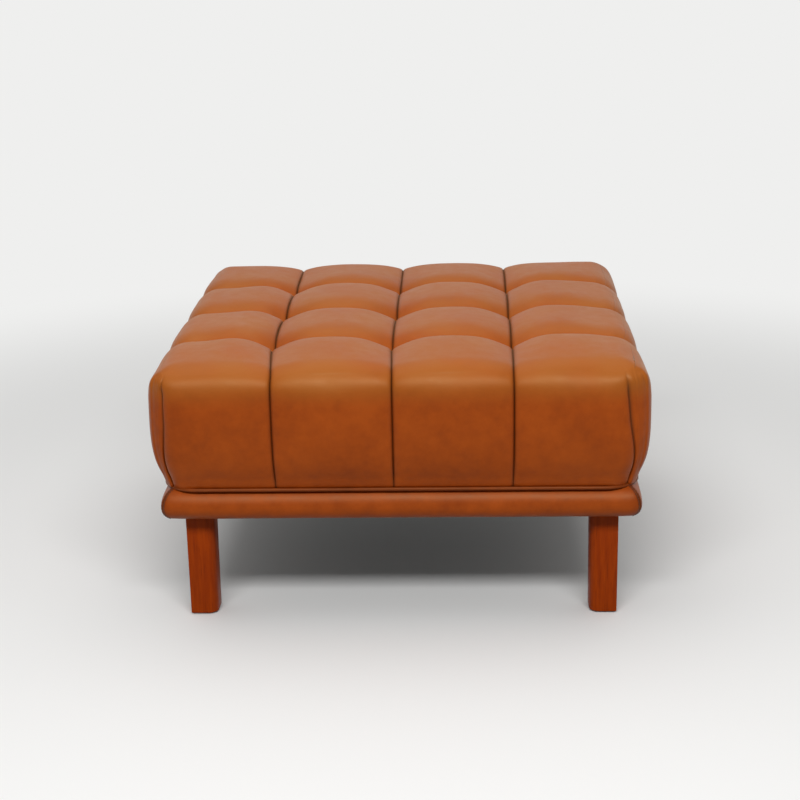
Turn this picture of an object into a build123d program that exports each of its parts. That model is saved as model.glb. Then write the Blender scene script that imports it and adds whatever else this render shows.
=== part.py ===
from build123d import *
import os
from math import sqrt

# A square coffee-table ottoman: a leather cushion tufted four by four, on a low base
# with a padded leather band and four block legs. Millimetres, X to the right along the
# front, Y to the back, Z up, with the origin on the floor under the middle.

# Whole table
cushion_width = 900
cushion_depth = 900
floor_clearance = 200

# Sheet goods and fits
leather = 1.5
dust_cloth = 1
cloth_gap = 0.3
wood_gap = 0.2
thread_gap = 0.1
cut_overrun = 5

# Cushion: heights from its seat on the base, draw-ins from its widest swell
outer_strip_extra = 6
crown_height = 236
tuft_depth = 34
seam_depth = 23
fold_depth = 22
widest_share = 0.65
shoulder_reach = 60
shoulder_drop = 6
foot_draw_in = 28
foot_bow = 12
seam_draw_in = 16
side_round_share = 0.73
swell_shares = (0, 0.8, 1, 0.8, 0)
round_share = 0.7071

# The outer strips as they round down over the sides, from the foot line to the swell
side_draw_ins = (foot_draw_in, 16, 6, 0)
corner_reach_ins = (14, 18, 28, 70)
side_rise_shares = (0, 0.08, 0.333, 0.8)
side_fold_shares = (1, 0.7, 0.4, 0.15)

# Filling, board and tuft tapes
fibre_thickness = 8
filling_cover = 6
filling_corner = 40
filling_edge = 52
top_board_thickness = 12
tape_width = 12
tape_thickness = 1.2
tape_tail = 30

# Welt between cushion and base
welt_diameter = 7
welt_lip = 2
welt_stand_off = 1.5

# Base frame
frame_draw_in = 45
rail_height = 51
rail_thickness = 20
housing_depth = 8
housing_cover_gap = 3
corner_block_margin = 31
corner_block_height = 38
corner_block_chamfer = 30

# Padded band round the base, swells from the rail's outer face
band_top_swell = 7
band_swell = 29
band_foot_swell = 20
band_widest_height = 25
band_upper_bow = 5
band_lower_bow = 4
dust_cover_margin = 10

# Legs and what fixes them
leg_width = 51
leg_foot_width = 49.5
leg_chamfer = 9
leg_draw_in = 56.5
bolt_diameter = 8
bolt_length = 76
bolt_in_leg = 36
tee_nut_diameter = 20
tee_nut_flange = 1.5
tee_nut_barrel_diameter = 10.5
tee_nut_barrel_length = 11
glide_diameter = 22
glide_height = 2

# Levels above the floor
leather_bottom = floor_clearance + dust_cloth
rail_bottom = leather_bottom + leather
rail_top = rail_bottom + rail_height
band_top = rail_top + leather
cushion_seat = band_top + welt_lip
board_bottom = cushion_seat + leather
board_top = board_bottom + top_board_thickness
crown_level = cushion_seat + crown_height
tuft_level = crown_level - tuft_depth
filling_top = tuft_level - leather - filling_cover
widest_height = crown_height * widest_share
side_radius = (crown_height - widest_height) * side_round_share
corner_block_top = rail_bottom + corner_block_height
bolt_bottom = floor_clearance - bolt_in_leg
corner_block_size = leg_width + corner_block_margin

# Half sizes in plan, each as (along X, along Y)
swell_plan = (cushion_width / 2, cushion_depth / 2)
foot_plan = tuple(half - foot_draw_in for half in swell_plan)
hollow_plan = tuple(half - leather for half in foot_plan)
board_plan = tuple(half - cloth_gap for half in hollow_plan)
frame_plan = tuple(half - frame_draw_in for half in swell_plan)
inner_plan = tuple(half - rail_thickness for half in frame_plan)
housing_plan = tuple(half + housing_depth for half in inner_plan)
pinch_plan = tuple(half + housing_cover_gap for half in housing_plan)
leg_plan = tuple(half - leg_draw_in - leg_width / 2 for half in swell_plan)
seam_pitch, row_pitch = ((half - outer_strip_extra) / 2 for half in swell_plan)

corners = {"front_left": (-1, -1), "front_right": (1, -1), "back_right": (1, 1), "back_left": (-1, 1)}
tuft_points = [(i * seam_pitch, j * row_pitch) for i in (-1, 0, 1) for j in (-1, 0, 1)]


def save(name, shape):
    """Write one named piece."""
    export_step(shape, f"parts/{name}.step")


def block(x_range, y_range, z_range):
    """A plain box between two corners."""
    ranges = (x_range, y_range, z_range)
    size = [abs(b - a) for a, b in ranges]
    middle = [(a + b) / 2 for a, b in ranges]
    return Pos(*middle) * Box(*size)


def centred_block(plan, z_range):
    """A box over the middle of the table with these half sizes in plan."""
    x, y = plan
    return block((-x, x), (-y, y), z_range)


def rod(diameter, z_range, place):
    """An upright round bar between two levels."""
    low, high = z_range
    return Pos(*place, (low + high) / 2) * Cylinder(diameter / 2, high - low)


def leg_places():
    """Where the four legs stand."""
    return [(x_sign * leg_plan[0], y_sign * leg_plan[1]) for x_sign, y_sign in corners.values()]


def cut_all(shape, tools):
    """The shape with every tool cut from it."""
    for tool in tools:
        shape = shape - tool
    return shape


def group(solids):
    """Like pieces kept together as separate solids."""
    return Compound(children=list(solids))


# Cushion form. Each cover strip is lofted across its width through outlines of the
# cushion in planes of constant x: a flat foot, a swelling front, a round shoulder, four
# pillowed rows with a fold between each two, and the same down the back.


def cushion_outline(x, reach, foot_reach, foot, crown, fold):
    """Closed outline of the cushion in the plane at x, from half depths and levels."""
    edge = crown - shoulder_drop
    widest = foot + (edge - foot) * widest_height / (crown_height - shoulder_drop)
    start, wide, high = (-foot_reach, foot), (-reach, widest), (shoulder_reach - reach, edge)
    folds = [(j * row_pitch, fold) for j in (-1, 0, 1)]
    face = ((start[0] + wide[0]) / 2 - foot_bow, (foot + widest) / 2)
    shoulder = (
        wide[0] + (high[0] - wide[0]) * (1 - round_share),
        wide[1] + (high[1] - wide[1]) * round_share,
    )

    def crest(a, b):
        return ((a[0] + b[0]) / 2, crown)

    front = [(start, face, wide), (wide, shoulder, high), (high, crest(high, folds[0]), folds[0])]
    rows = [(a, crest(a, b), b) for a, b in zip(folds, folds[1:])]
    back = [[(-y, z) for y, z in reversed(arc)] for arc in reversed(front)]
    edges = [ThreePointArc(*[(x, y, z) for y, z in arc]) for arc in front + rows + back]
    edges.append(Line((x, foot_reach, foot), (x, -foot_reach, foot)))
    return Face(Wire(edges))


def swell_outlines(x_from, x_to):
    """Outlines from seam to seam, drawn in at both and fullest halfway."""
    last = len(swell_shares) - 1
    return [
        cushion_outline(
            x_from + (x_to - x_from) * index / last,
            swell_plan[1] - seam_draw_in * (1 - share),
            foot_plan[1],
            cushion_seat,
            crown_level - seam_depth * (1 - share),
            tuft_level + (tuft_depth - fold_depth) * share,
        )
        for index, share in enumerate(swell_shares)
    ]


def side_outlines():
    """Outlines over the rounded side, from above the foot line out to the widest swell."""
    rows = zip(side_draw_ins, corner_reach_ins, side_rise_shares, side_fold_shares)
    outlines = []
    for draw_in, reach_in, rise_share, fold_share in rows:
        crown = crown_level - side_radius + sqrt(side_radius**2 - (side_radius - draw_in) ** 2)
        reach = swell_plan[1] - reach_in
        foot_reach = reach + corner_reach_ins[0] / 2 - foot_draw_in
        fold = crown - fold_depth * fold_share
        x = swell_plan[0] - draw_in
        foot = cushion_seat + widest_height * rise_share
        outlines.append(cushion_outline(x, reach, foot_reach, foot, crown, fold))
    return outlines


def make_cushion():
    """Cover strips with their stuffing, fibre wrap, foam core, tuft tapes and top board."""
    hollow = filling_block(hollow_plan, (board_bottom, filling_top))
    mouth = centred_block(pinch_plan, (cushion_seat - cut_overrun, board_top))
    middle = loft(swell_outlines(0, seam_pitch), ruled=True) - hollow - mouth
    right = loft(swell_outlines(seam_pitch, foot_plan[0])[:-1] + side_outlines(), ruled=True)
    right = right - hollow - mouth
    save("cover_strip_mid_right", middle)
    save("cover_strip_right", right)
    save("cover_strip_mid_left", mirror(middle, about=Plane.YZ))
    save("cover_strip_left", mirror(right, about=Plane.YZ))

    foam_plan = tuple(half - fibre_thickness for half in board_plan)
    core = filling_block(foam_plan, (board_top, filling_top - cloth_gap - fibre_thickness))
    wrap = filling_block(board_plan, (board_top, filling_top - cloth_gap)) - core
    board = centred_block(board_plan, (board_bottom, board_top))
    board = chamfer(board.edges().filter_by(Axis.Z), filling_corner)

    slots = [tape_slot(x, y) for x, y in tuft_points]
    save("fibre_wrap", cut_all(wrap, slots))
    save("foam_core", cut_all(core, slots))
    save("top_board", cut_all(board, slots))
    save("tuft_tapes", group(tuft_tape(x, y) for x, y in tuft_points))


def filling_block(plan, levels):
    """A block with its upright corners and its top edges cut off, as foam is sawn."""
    body = centred_block(plan, levels)
    body = chamfer(body.edges().filter_by(Axis.Z), filling_corner)
    return chamfer(body.faces().sort_by(Axis.Z)[-1].edges(), filling_edge)


def tuft_tape(x, y):
    """Flat tape sewn to a tuft point, led down through the board and turned under it."""
    half, breadth = tape_thickness / 2, tape_width / 2
    across = (y - breadth, y + breadth)
    turn = board_bottom - tape_thickness
    drop = block((x - half, x + half), across, (turn, filling_top))
    return drop + block((x - half, x + tape_tail), across, (turn, board_bottom))


def tape_slot(x, y):
    """Slot that a tuft tape is pulled through."""
    half, breadth = tape_thickness / 2 + wood_gap, tape_width / 2 + wood_gap
    levels = (board_bottom - cut_overrun, filling_top)
    return block((x - half, x + half), (y - breadth, y + breadth), levels)


# Welt: a leather-covered cord whose sewn lip is pinched between the cushion and the base.


def make_welt():
    """Round cord, mitred at the corners, with the flat lip that holds it."""
    half_x, half_y = (half + welt_stand_off + welt_diameter / 2 for half in foot_plan)
    level = (band_top + cushion_seat) / 2
    path = Pos(0, 0, level) * Rectangle(2 * half_x, 2 * half_y)
    start = Plane(origin=(0, -half_y, level), x_dir=(0, 1, 0), z_dir=(1, 0, 0))
    cord = sweep(start * Circle(welt_diameter / 2), path.wire(), transition=Transition.RIGHT)
    lip = centred_block((half_x, half_y), (band_top, cushion_seat))
    save("welt", cord + lip - centred_block(pinch_plan, (rail_top, board_bottom)))


# Base frame: the side and cross rails are housed in the front and back rails, and a block
# in each corner stiffens the frame and takes the leg.


def make_frame():
    """Rails, cross rails and corner blocks."""
    fx, fy = frame_plan
    ix, iy = inner_plan
    levels = (rail_bottom, rail_top)
    housed = (-housing_plan[1], housing_plan[1])
    left, right = (block((sign * ix, sign * fx), housed, levels) for sign in (-1, 1))
    cross_left, cross_right = (
        block(
            (sign * seam_pitch / 2 - rail_thickness / 2, sign * seam_pitch / 2 + rail_thickness / 2),
            housed,
            (rail_bottom, board_bottom),
        )
        for sign in (-1, 1)
    )
    housings = [left, right, cross_left, cross_right]
    save("rail_front", cut_all(block((-fx, fx), (-fy, -iy), levels), housings))
    save("rail_back", cut_all(block((-fx, fx), (iy, fy), levels), housings))
    save("rail_left", left)
    save("rail_right", right)
    save("cross_rail_left", cross_left)
    save("cross_rail_right", cross_right)

    for name, (x_sign, y_sign) in corners.items():
        body = block(
            (x_sign * (ix - corner_block_size), x_sign * ix),
            (y_sign * (iy - corner_block_size), y_sign * iy),
            (rail_bottom, corner_block_top),
        )
        inner_edge = body.edges().filter_by(Axis.Z).sort_by_distance((0, 0, rail_bottom))[0]
        body = chamfer(inner_edge, corner_block_chamfer)
        hole = rod(
            tee_nut_barrel_diameter + 2 * wood_gap,
            (rail_bottom - cut_overrun, corner_block_top + cut_overrun),
            (x_sign * leg_plan[0], y_sign * leg_plan[1]),
        )
        save(f"corner_block_{name}", body - hole)


# Padded band: a bolster profile round the rails, mitred at the corners. The leather is
# turned in over the top and under the bottom of each rail.


def band_profile(skin, inner):
    """Bolster region from inner outwards, drawn in by skin, as (out from the rail, level)."""
    top = (band_top_swell - skin, band_top - skin)
    wide = (band_swell - skin, leather_bottom + band_widest_height)
    foot = (band_foot_swell - skin, leather_bottom + skin)

    def bowed(a, b, bow):
        run, rise = b[0] - a[0], b[1] - a[1]
        length = sqrt(run**2 + rise**2)
        return ((a[0] + b[0]) / 2 - bow * rise / length, (a[1] + b[1]) / 2 + bow * run / length)

    return make_face(
        [
            Line((inner, top[1]), top),
            ThreePointArc(top, bowed(top, wide, band_upper_bow), wide),
            ThreePointArc(wide, bowed(wide, foot, band_lower_bow), foot),
            Line(foot, (inner, foot[1])),
            Line((inner, foot[1]), (inner, top[1])),
        ]
    )


def mitred(profile, half_length, half_distance, turn):
    """The profile run along one side of the frame and cut at 45 degrees at both ends."""
    reach, inset = band_swell + cut_overrun, rail_thickness + cut_overrun
    section = Plane(origin=(0, -half_distance, 0), x_dir=(0, -1, 0), z_dir=(-1, 0, 0)) * profile
    run = extrude(section, half_length + reach, both=True)
    wedge = make_face(
        Polyline(
            (-half_length - reach, -half_distance - reach),
            (half_length + reach, -half_distance - reach),
            (half_length - inset, -half_distance + inset),
            (-half_length + inset, -half_distance + inset),
            close=True,
        )
    )
    prism = extrude(Pos(0, 0, floor_clearance - cut_overrun) * wedge, board_top - floor_clearance)
    return Rot(0, 0, turn) * (run & prism)


def make_band():
    """Leather covers and their padding on the four sides."""
    turn_in = pinch_plan[0] - frame_plan[0]
    cover = band_profile(0, turn_in) - band_profile(leather, turn_in - cut_overrun)
    pad = band_profile(leather + cloth_gap, 0)
    for name, turn in {"front": 0, "right": 90, "back": 180, "left": 270}.items():
        half_length, half_distance = frame_plan if turn % 180 == 0 else frame_plan[::-1]
        save(f"band_cover_{name}", mitred(cover, half_length, half_distance, turn))
        save(f"band_padding_{name}", mitred(pad, half_length, half_distance, turn))


def make_dust_cover():
    """Black cloth over the underside, cut square round each leg's bolt."""
    plan = tuple(half + band_foot_swell - dust_cover_margin for half in frame_plan)
    cloth = centred_block(plan, (floor_clearance, leather_bottom))
    half = bolt_diameter / 2 + wood_gap
    cuts = [
        block((x - half, x + half), (y - half, y + half), (floor_clearance - cut_overrun, rail_bottom))
        for x, y in leg_places()
    ]
    save("dust_cover", cut_all(cloth, cuts))


# Legs: square blocks with the two edges beside the outer corner chamfered, slightly
# tapered. A hanger bolt holds each in a tee nut on its corner block, over a nylon glide.


def leg_section(width, signs, level):
    """Section of a leg, sharp at the corner that the signs point to and at the one across."""
    half, cut = width / 2, width / 2 - leg_chamfer
    shape = [(half, half), (-cut, half), (-half, cut), (-half, -half), (cut, -half), (half, -cut)]
    points = [(signs[0] * (leg_plan[0] + x), signs[1] * (leg_plan[1] + y)) for x, y in shape]
    return Pos(0, 0, level) * make_face(Polyline(*points, close=True))


def make_legs():
    """Legs, hanger bolts, tee nuts and glides at the four corners."""
    bolts, nuts, glides = [], [], []
    nut_top = corner_block_top + tee_nut_flange
    barrel_bottom = corner_block_top - tee_nut_barrel_length
    for (name, signs), place in zip(corners.items(), leg_places()):
        foot = leg_section(leg_foot_width, signs, glide_height)
        leg = loft([foot, leg_section(leg_width, signs, floor_clearance)], ruled=True)
        pilot = (bolt_bottom - thread_gap, floor_clearance + cut_overrun)
        save(f"leg_{name}", leg - rod(bolt_diameter + 2 * thread_gap, pilot, place))
        bolts.append(rod(bolt_diameter, (bolt_bottom, bolt_bottom + bolt_length), place))
        nut = rod(tee_nut_diameter, (corner_block_top, nut_top), place)
        nut = nut + rod(tee_nut_barrel_diameter, (barrel_bottom, corner_block_top), place)
        nuts.append(nut - rod(bolt_diameter + 2 * thread_gap, (barrel_bottom, nut_top), place))
        glides.append(rod(glide_diameter, (0, glide_height), place))
    save("hanger_bolts", group(bolts))
    save("tee_nuts", group(nuts))
    save("glides", group(glides))


os.makedirs("parts", exist_ok=True)
make_cushion()
make_welt()
make_frame()
make_band()
make_dust_cover()
make_legs()
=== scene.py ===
import math
import bmesh
import bpy
import numpy as np
from mathutils import Matrix, Vector, noise


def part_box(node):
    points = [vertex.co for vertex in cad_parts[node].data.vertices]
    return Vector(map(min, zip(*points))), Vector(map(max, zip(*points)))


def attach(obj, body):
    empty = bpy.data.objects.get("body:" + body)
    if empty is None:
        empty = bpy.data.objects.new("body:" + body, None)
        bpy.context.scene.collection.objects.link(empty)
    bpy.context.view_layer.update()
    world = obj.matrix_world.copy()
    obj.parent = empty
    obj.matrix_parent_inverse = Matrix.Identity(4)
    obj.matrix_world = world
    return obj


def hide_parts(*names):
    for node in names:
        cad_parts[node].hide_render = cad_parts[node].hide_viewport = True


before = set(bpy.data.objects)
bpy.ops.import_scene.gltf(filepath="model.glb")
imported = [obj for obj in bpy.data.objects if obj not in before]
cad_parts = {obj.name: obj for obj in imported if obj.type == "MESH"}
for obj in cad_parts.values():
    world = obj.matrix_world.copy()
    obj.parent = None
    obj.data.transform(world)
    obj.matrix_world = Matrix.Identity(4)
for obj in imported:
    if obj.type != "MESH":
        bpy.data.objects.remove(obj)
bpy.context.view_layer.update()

# Cushion cover. Four strips of cognac semi-aniline cowhide run from front to back and are
# sewn to each other in three plain seams. Nine blind tufts pull them down to the foam, and
# the outer two strips wrap over the sides, with a dart seam down each corner.
cushion_strips = ["cover_strip_left", "cover_strip_mid_left", "cover_strip_mid_right", "cover_strip_right"]
seams = [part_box(name)[1].x for name in cushion_strips[:3]]
folds = seams
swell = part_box("cover_strip_right")[1].x
foot_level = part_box("cover_strip_mid_right")[0].z
crown_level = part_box("cover_strip_mid_right")[1].z
seam_pitch = seams[2] - seams[1]
corner_seam_inset = 0.026
corner_seam = swell - corner_seam_inset
# points nearer than this are one point
hair = 1e-5


def graded(start, end, first, widest, growth=1.6):
    """Places from start to end, close together at both ends and even between."""
    steps, step = [0.0], first
    while step < widest:
        steps.append(steps[-1] + step)
        step *= growth
    middle = end - start - 2 * steps[-1]
    count = max(1, round(middle / widest))
    inner = [steps[-1] + middle * i / count for i in range(1, count)]
    return [start + s for s in steps + inner] + [end - s for s in reversed(steps)]


def joined(stretches):
    """Graded stretches put end to end, with no place twice."""
    places = stretches[0]
    for stretch in stretches[1:]:
        places = places + stretch[1:]
    return np.array(places)


by_seam_step, by_fold_step, widest_step = 0.0016, 0.0022, 0.0080
rows_up = 31
bounds_x = [-swell, -corner_seam, *seams, corner_seam, swell]
bounds_y = [-swell, *folds, swell]
grid_x = joined([graded(a, b, by_seam_step, widest_step) for a, b in zip(bounds_x, bounds_x[1:])])
grid_y = joined([graded(a, b, by_fold_step, widest_step) for a, b in zip(bounds_y, bounds_y[1:])])
grid_z = np.linspace(foot_level, crown_level, rows_up)


def sheet_of(axis, at, along, up, flip):
    """Quads of one face of the cushion's block, as corner points in a (rows, 4, 3) array."""
    a, b = np.meshgrid(along, up, indexing="ij")
    fixed = np.full(a.shape, at)
    points = np.stack({"x": (fixed, a, b), "y": (a, fixed, b), "z": (a, b, fixed)}[axis], axis=-1)
    quads = np.stack([points[:-1, :-1], points[1:, :-1], points[1:, 1:], points[:-1, 1:]], axis=2)
    quads = quads.reshape(-1, 4, 3)
    return quads[:, ::-1] if flip else quads


block = np.concatenate([
    sheet_of("z", crown_level, grid_x, grid_y, False),
    sheet_of("y", -swell, grid_x, grid_z, False),
    sheet_of("y", swell, grid_x, grid_z, True),
    sheet_of("x", swell, grid_y, grid_z, False),
    sheet_of("x", -swell, grid_y, grid_z, True),
])
corners, index = np.unique(np.round(block.reshape(-1, 3), 6), axis=0, return_inverse=True)
quads = index.reshape(-1, 4)


def vertex_normals(points, faces):
    """Unit normals at the points of a quad mesh."""
    across = points[faces[:, 2]] - points[faces[:, 0]]
    back = points[faces[:, 3]] - points[faces[:, 1]]
    face_normals = np.cross(across, back)
    summed = np.zeros_like(points)
    for corner in range(4):
        np.add.at(summed, faces[:, corner], face_normals)
    return summed / np.linalg.norm(summed, axis=1, keepdims=True)


def smooth(low, high, value):
    """0 below low, 1 above high and an easy curve between."""
    t = np.clip((value - low) / (high - low), 0, 1)
    return t * t * (3 - 2 * t)


# the form of the stuffed block, where a pair is a stretch over which something comes or goes
edge_round = 0.056
corner_power, crown_corner_power = 2.4, 5.0
squarer_corners = (crown_level - 0.055, crown_level - 0.015)
widest_level = foot_level + 0.150
foot_draw_in, foot_draw_power = 0.026, 3.6
crown_draw_in = 0.010
crown_rise = 0.007
rise_at_front = (-0.42, -0.22)
fall_at_back, back_fall_share = (0.16, 0.42), 1.6
fall_at_sides = (0.26, 0.44)
fall_at_front, front_fall_share = (-swell, -0.29), 0.8
front_seam_shift, front_seam_lean, top_seam_shift = 0.0105, 0.034, 0.0168
foot_seam_out, foot_bow = 0.022, (foot_level, foot_level + 0.13)
right_seam_in, crown_bow = 0.012, (foot_level + 0.06, crown_level - 0.03)


def rounded_block(points):
    """The block with its top edges rolled over, its corners rounded and its foot drawn in."""
    inner_half = swell - edge_round
    low, high = [-inner_half, -inner_half, 0], [inner_half, inner_half, crown_level - edge_round]
    inner = np.clip(points, low, high)
    out = points - inner
    squarer = smooth(*squarer_corners, points[:, 2])
    power = corner_power + (crown_corner_power - corner_power) * squarer
    plan = (np.abs(out[:, :2]) ** power[:, None]).sum(axis=1) ** (1 / power)
    reach = np.sqrt(plan**2 + out[:, 2] ** 2)
    # on a face, the block's own depth beyond the inner block is the radius of the edge
    shaped = inner + out * (edge_round / np.maximum(reach, edge_round))[:, None]
    drop = np.clip((widest_level - shaped[:, 2]) / (widest_level - foot_level), 0, 1) ** foot_draw_power
    lean = np.clip((shaped[:, 2] - widest_level) / (crown_level - widest_level), 0, 1) ** 2
    by_corner = (shaped[:, 1::-1] / swell) ** 4
    draw = (foot_draw_in * drop[:, None] + crown_draw_in * lean[:, None] * by_corner) / swell
    shaped[:, :2] *= 1 - draw * (shaped[:, :2] / swell) ** 2
    across, back = shaped[:, 0], shaped[:, 1]
    middle_rise = smooth(*rise_at_front, back) * (1 - back_fall_share * smooth(*fall_at_back, back))
    front_fall = front_fall_share * (1 - smooth(*fall_at_front, back))
    rise = (1 - smooth(*fall_at_sides, np.abs(across))) * middle_rise - front_fall
    shaped[:, 2] += crown_rise * rise * lean
    return shaped


def hand_sewn(points):
    """The seams as they were pulled: a little to the left of even, and the corner seams bowed."""
    across, height = points[:, 0], points[:, 2]
    inward = 1 - np.abs(across / swell) ** 6
    on_front = -front_seam_shift - front_seam_lean * across
    on_top = smooth(-swell, -swell / 2, points[:, 1])
    by_corner = np.interp(np.abs(across), [seams[2], corner_seam, swell], [0, 1, 0])
    at_foot = foot_seam_out * (1 - smooth(*foot_bow, height))
    at_crown = right_seam_in * smooth(*crown_bow, height) * (across > 0)
    moved = points.copy()
    moved[:, 0] += inward * (on_front * (1 - on_top) - top_seam_shift * on_top)
    moved[:, 0] += by_corner * (at_foot - at_crown) * np.sign(across)
    return moved


# how deep the seams, folds and tufts lie below the block's own form
seam_depth, face_seam_depth, fold_depth = 0.021, 0.008, 0.023
seam_spread, face_seam_spread, fold_spread = 2.3, 4.0, 4.5
crossing_power = 1.75
turned_up = (0.1, 0.8)
shallow_rows, shallow_share = (seam_pitch + 0.04, swell - 0.03), 0.25
face_seam_start, least_seam_share = (foot_level, foot_level + 0.09), 0.05
fold_start = (crown_level - 0.12, crown_level - 0.02)
fold_at_sides, side_fold_loss = (seams[2] + 0.10, swell - 0.02), 0.4
corner_depth, corner_reach = 0.007, 0.030
corner_seam_end = (crown_level - 0.060, crown_level - 0.012)
tuft_depth, tuft_reach = 0.024, 0.030
tuft_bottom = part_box("fibre_wrap")[1].z + 0.0015
pleat_depth, pleat_reach, pleat_ring = 0.0032, 0.018, (0.003, 0.012)
pleats_each, seam_turn, fold_turn = 7, 9, 5
stuffing_room = 0.0025
foot_ease = (foot_level, foot_level + 0.02)

base = rounded_block(hand_sewn(corners))
normals = vertex_normals(base, quads)
height = base[:, 2]
up = smooth(*turned_up, normals[:, 2])
off_foot = smooth(*foot_ease, height)
seam_gap = np.min([np.abs(corners[:, 0] - x) for x in seams], axis=0)
fold_gap = np.min([np.abs(corners[:, 1] - y) for y in folds], axis=0)
face_gap = swell - np.abs(corners[:, 1])
corner_gap = np.hypot(np.abs(corners[:, 0]) - corner_seam, face_gap)
tuft_gap = np.hypot(seam_gap, fold_gap)
inland = 1 - smooth(*shallow_rows, np.abs(corners[:, 1]))
seam_up = up * (shallow_share + (1 - shallow_share) * inland)
near_seam = np.clip(1 - seam_gap / (seam_pitch / 2), 0, 1)
near_fold = np.clip(1 - fold_gap / (seam_pitch / 2), 0, 1)
face_seam = least_seam_share + (1 - least_seam_share) * smooth(*face_seam_start, height)
by_seam = near_seam**face_seam_spread * face_seam_depth * face_seam * (1 - seam_up)
by_seam += near_seam**seam_spread * seam_depth * seam_up
by_fold = near_fold**fold_spread * fold_depth * smooth(*fold_start, height)
by_fold *= 1 - side_fold_loss * smooth(*fold_at_sides, np.abs(corners[:, 0]))
depth = (by_seam**crossing_power + by_fold**crossing_power) ** (1 / crossing_power)
corner_fade = 1 - smooth(*corner_seam_end, height)
depth += corner_depth * np.clip(1 - corner_gap / corner_reach, 0, 1) ** 2 * corner_fade
depth += tuft_depth * np.exp(-tuft_gap / tuft_reach) * up
nearest_seam = np.round(corners[:, 0] / seam_pitch) * seam_pitch
nearest_fold = np.round(corners[:, 1] / seam_pitch) * seam_pitch
around = np.arctan2(corners[:, 1] - nearest_fold, corners[:, 0] - nearest_seam)
swirl = pleats_each / 2 * around + seam_turn * nearest_seam + fold_turn * nearest_fold
pleat = np.cos(swirl) ** 8 * smooth(*pleat_ring, tuft_gap)
depth += pleat_depth * pleat * np.exp(-tuft_gap / pleat_reach) * up * (tuft_gap < seam_pitch / 2)
depth += stuffing_room * (2 - up) * off_foot
start_points = base - normals * depth[:, None]


def new_piece(name, mesh):
    """An object in the scene that shows the mesh."""
    piece = bpy.data.objects.new(name, mesh)
    bpy.context.scene.collection.objects.link(piece)
    return piece


def new_mesh(name, points, faces, edges=()):
    """A mesh of lists of points, faces and loose edges."""
    mesh = bpy.data.meshes.new(name)
    mesh.from_pydata(points, edges, faces)
    return mesh


def evened(values, faces, held, rounds):
    """Values at the points of a quad mesh, averaged with their neighbours', but for the held ones."""
    for _ in range(rounds):
        summed, count = np.zeros_like(values), np.zeros((len(values), 1))
        for corner in range(4):
            np.add.at(summed, faces[:, corner], values[faces].mean(axis=1))
            np.add.at(count, faces[:, corner], 1)
        values = np.where(held[:, None], values, summed / count)
    return values


pressure = 4.0
cut_excess = 0.004
most_swell = 0.0035
evening_rounds = 12
blowing_frames = 20


def filled_out(points, faces, pinned):
    """The cover blown up on its stuffing: cloth under pressure, held at its seams and its foot."""
    shell = new_piece("cover_shell", new_mesh("cover_shell", points.tolist(), faces.tolist()))
    held = shell.vertex_groups.new(name="sewn")
    held.add(np.flatnonzero(pinned).tolist(), 1.0, "REPLACE")
    cloth = shell.modifiers.new("hide", "CLOTH")
    cloth.settings.quality = 6
    cloth.settings.mass = 0.4
    cloth.settings.tension_stiffness = cloth.settings.compression_stiffness = 25
    cloth.settings.shear_stiffness = 8
    cloth.settings.bending_stiffness = 3
    cloth.settings.vertex_group_mass = "sewn"
    cloth.settings.use_pressure = True
    cloth.settings.uniform_pressure_force = pressure
    cloth.settings.shrink_min = -cut_excess
    cloth.settings.effector_weights.gravity = 0
    cloth.collision_settings.use_collision = False
    cloth.point_cache.frame_start, cloth.point_cache.frame_end = 1, blowing_frames
    scene = bpy.context.scene
    for number in range(1, blowing_frames + 1):
        scene.frame_set(number)
    evaluated = shell.evaluated_get(bpy.context.evaluated_depsgraph_get())
    blown = np.empty(len(points) * 3)
    evaluated.data.vertices.foreach_get("co", blown)
    scene.frame_set(1)
    bpy.data.objects.remove(shell)
    move = blown.reshape(-1, 3) - points
    length = np.linalg.norm(move, axis=1, keepdims=True)
    move *= np.minimum(1, most_swell / np.maximum(length, 1e-9))
    return points + evened(move, faces, pinned, evening_rounds)


# the block's own corner edges are eased away before the cover is blown up
edge_softness = 0.025
edge_rounds = 30
dart_pinned_share = 0.9
foot_row = corners[:, 2] <= foot_level + hair
top_rows = corners[:, 2] >= crown_level - hair
sewn = (seam_gap < hair) | (corner_gap < hair) & (corner_fade > dart_pinned_share) | foot_row
edge_gap = np.hypot(swell - np.abs(corners[:, 0]), face_gap)
edge_held = sewn | (edge_gap > edge_softness)
eased = evened(start_points, quads, edge_held, edge_rounds)
start_points += (eased - start_points) * (1 - smooth(edge_softness / 4, edge_softness, edge_gap))[:, None]
start_points = filled_out(start_points, quads, sewn)

# seam lines, fine unevenness and the marks that the hide's colour follows come last
groove_depth, groove_width, foot_groove_share = 0.0030, 0.0018, 0.25
seam_shade = 0.0019
ripple_depth, ripple_start = 0.0005, 0.05
ripples_per_m, fine_ripples_per_m, fine_ripple_share = 12, 40, 0.3
# how far the top's paler tan goes: painted sheen over all the top rows, more on the crests with wear, and
# some at random
raised_above, raised_below = 0.024, 0.006
wear_and_sheen_rows = (crown_level - 0.085, crown_level - 0.03)
top_wear_and_sheen_share, raised_share, ripple_share = 0.50, 0.35, 0.3
normals = vertex_normals(start_points, quads)
seam_groove = np.exp(-seam_gap / groove_width)
corner_groove = np.exp(-corner_gap / groove_width) * corner_fade
groove = groove_depth * np.maximum(seam_groove, corner_groove)
depth = groove * (foot_groove_share + (1 - foot_groove_share) * off_foot)
ripple = np.array([
    noise.noise(Vector(p) * ripples_per_m) + fine_ripple_share * noise.noise(Vector(p) * fine_ripples_per_m)
    for p in base])
depth += ripple_depth * ripple * np.clip(tuft_gap / ripple_start, 0, 1) * off_foot
cushion_points = start_points - normals * depth[:, None]
cushion_points[foot_row, 2] = foot_level
cushion_points[top_rows, 2] = np.maximum(cushion_points[top_rows, 2], tuft_bottom)
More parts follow.
